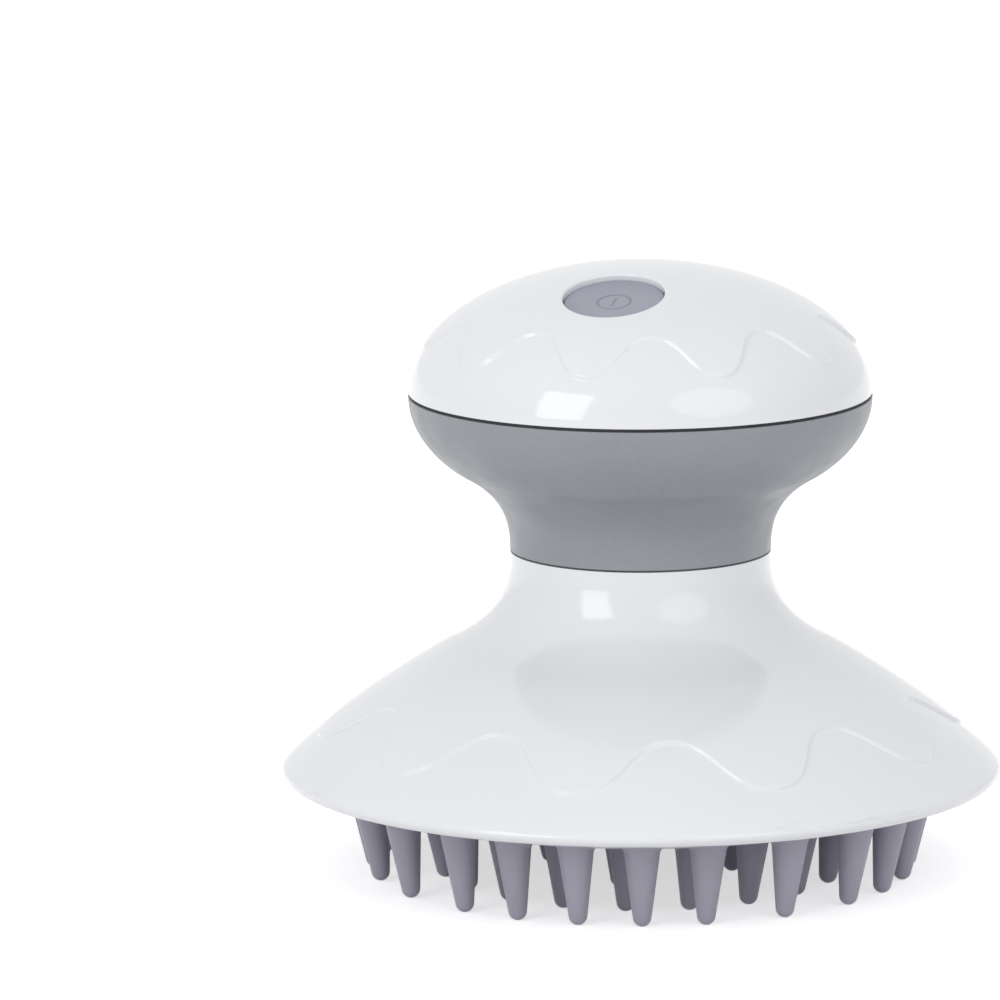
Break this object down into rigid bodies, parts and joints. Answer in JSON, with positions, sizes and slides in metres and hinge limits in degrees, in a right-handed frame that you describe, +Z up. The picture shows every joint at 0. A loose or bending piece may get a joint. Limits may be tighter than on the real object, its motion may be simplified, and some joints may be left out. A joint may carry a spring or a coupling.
{
  "type": "electric scalp massager",
  "caption": "Hand-held electric scalp massager: a scallop-relief domed cap with a power button, a waisted grey grip, a flared base and a domed pad of soft bristles.",
  "frame": {"origin": "on the massager's axis, in the plane of the bristle tips it stands on", "axes": "+Z up along the axis, from the bristle tips to the top of the cap; the power button faces -Y; +X completes the right-handed frame"},
  "size_m": [0.1208, 0.1208, 0.1028],
  "materials": {
    "shell_white": "moulded, glossy",
    "grip_grey": "soft-touch matte",
    "soft_pad": "matte soft elastomer",
    "button_grey": "satin",
    "seal_black": "matte",
    "board_green": "solder-resist lacquer",
    "switch_black": "moulded",
    "carrier_black": "moulded",
    "contact_metal": "stamped, bright",
    "wire_red": "insulated",
    "tray_grey": "moulded",
    "cell_metal": "wrapped steel can",
    "spring_steel": "plated wire",
    "screw_steel": "plated",
    "motor_steel": "zinc plated",
    "weight_metal": "sintered, turned",
    "cup_grey": "moulded",
    "clamp_steel": "stamped",
    "plate_white": "moulded"
  },
  "bodies": {
    "handle": {"grip_shell": "grip_grey", "neck_gasket": "seal_black", "neck_screws": "screw_steel", "battery_tray": "tray_grey", "tray_screws": "screw_steel", "battery_cells": "cell_metal", "cell_contacts": "contact_metal", "cell_springs": "spring_steel", "power_strips": "contact_metal", "base_shell": "shell_white", "motor_can": "motor_steel", "motor_sleeve": "seal_black", "motor_cup": "cup_grey", "motor_clamp": "clamp_steel", "motor_screws": "screw_steel", "motor_leads": "wire_red", "backing_plate": "plate_white", "plate_seal": "seal_black", "plate_screws": "screw_steel", "bristle_pad": "soft_pad"},
    "cap": {"top_cap": "shell_white", "button_gasket": "seal_black", "control_board": "board_green", "tact_switch": "switch_black", "board_screws": "screw_steel", "contact_carrier": "carrier_black", "carrier_screws": "screw_steel", "top_contacts": "contact_metal", "contact_pins": "contact_metal", "board_wires": "wire_red", "cap_seal": "seal_black"},
    "button": {"power_button": "button_grey", "switch_plunger": "switch_black"},
    "rotor": {"motor_shaft": "screw_steel", "eccentric_weight": "weight_metal"}
  },
  "joints": [
    {"name": "cap_pull", "type": "slide", "parent": "handle", "child": "cap", "axis": [0, 0, 1], "range_m": [0, 0.045]},
    {"name": "button_press", "type": "slide", "parent": "cap", "child": "button", "axis": [0, 0.2696, -0.963], "range_m": [0, 0.0006], "stiffness_N_per_m": 500, "springref_m": -0.001},
    {"name": "rotor_spin", "type": "hinge", "parent": "handle", "child": "rotor", "pos_m": [0, 0, 0.03], "axis": [0, 0, 1], "continuous": true}
  ]
}
